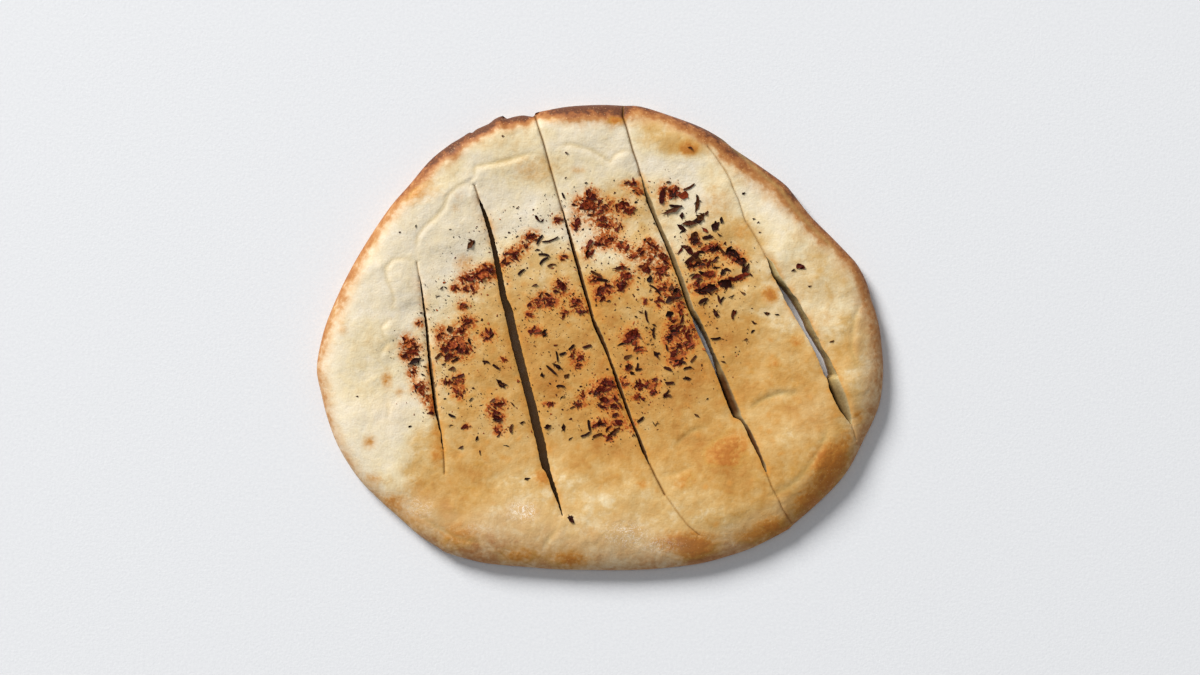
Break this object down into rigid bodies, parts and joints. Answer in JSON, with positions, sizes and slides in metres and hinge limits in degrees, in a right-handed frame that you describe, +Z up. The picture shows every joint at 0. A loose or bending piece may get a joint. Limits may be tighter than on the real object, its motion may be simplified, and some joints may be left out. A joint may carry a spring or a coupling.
{
  "type": "focaccia",
  "caption": "Flat oval focaccia with a puffed rim, a pressed oiled middle, knife slits and a strewing of dried herbs and chilli.",
  "frame": {"origin": "under the middle of the loaf's box, on the surface that it rests on", "axes": "+X along the loaf's longer side, +Y across it to the far side of the slits' upper ends, +Z up out of the crust"},
  "size_m": [0.282, 0.2316, 0.0165],
  "materials": {
    "crust": "baked dough crust, pale cream to golden, oiled in the middle, browned at the rim, satin",
    "herb": "dried, toasted herb leaf and stem, near black brown, matte",
    "chilli": "dried, toasted chilli flake, rust red, matte"
  },
  "bodies": {
    "root": {"bread": "crust", "chilli_flake_01": "chilli", "chilli_flake_02": "chilli", "chilli_flake_03": "chilli", "chilli_flake_04": "chilli", "chilli_flake_05": "chilli", "chilli_flake_06": "chilli", "chilli_flake_07": "chilli", "chilli_flake_08": "chilli", "herb_leaf_01": "herb", "herb_leaf_02": "herb", "herb_leaf_03": "herb", "herb_leaf_04": "herb", "herb_leaf_05": "herb", "herb_leaf_06": "herb", "herb_leaf_07": "herb", "herb_leaf_08": "herb", "herb_leaf_09": "herb", "herb_leaf_10": "herb", "herb_leaf_11": "herb", "herb_leaf_12": "herb", "herb_leaf_13": "herb", "herb_leaf_14": "herb", "herb_leaf_15": "herb", "herb_leaf_16": "herb", "herb_leaf_17": "herb", "herb_leaf_18": "herb", "herb_leaf_19": "herb", "herb_leaf_20": "herb", "herb_leaf_21": "herb", "herb_shard_01": "herb", "herb_shard_02": "herb", "herb_shard_03": "herb", "herb_shard_04": "herb", "herb_shard_05": "herb", "herb_shard_06": "herb", "herb_shard_07": "herb", "herb_shard_08": "herb", "herb_shard_09": "herb", "herb_shard_10": "herb", "herb_shard_11": "herb", "herb_shard_12": "herb", "herb_shard_13": "herb", "herb_shard_14": "herb", "herb_shard_15": "herb", "herb_stem_01": "herb", "herb_stem_02": "herb", "herb_stem_03": "herb", "herb_stem_04": "herb", "herb_stem_05": "herb", "herb_stem_06": "herb", "herb_stem_07": "herb", "herb_stem_08": "herb", "herb_stem_09": "herb", "herb_stem_10": "herb", "herb_stem_11": "herb", "herb_stem_12": "herb"}
  },
  "joints": []
}
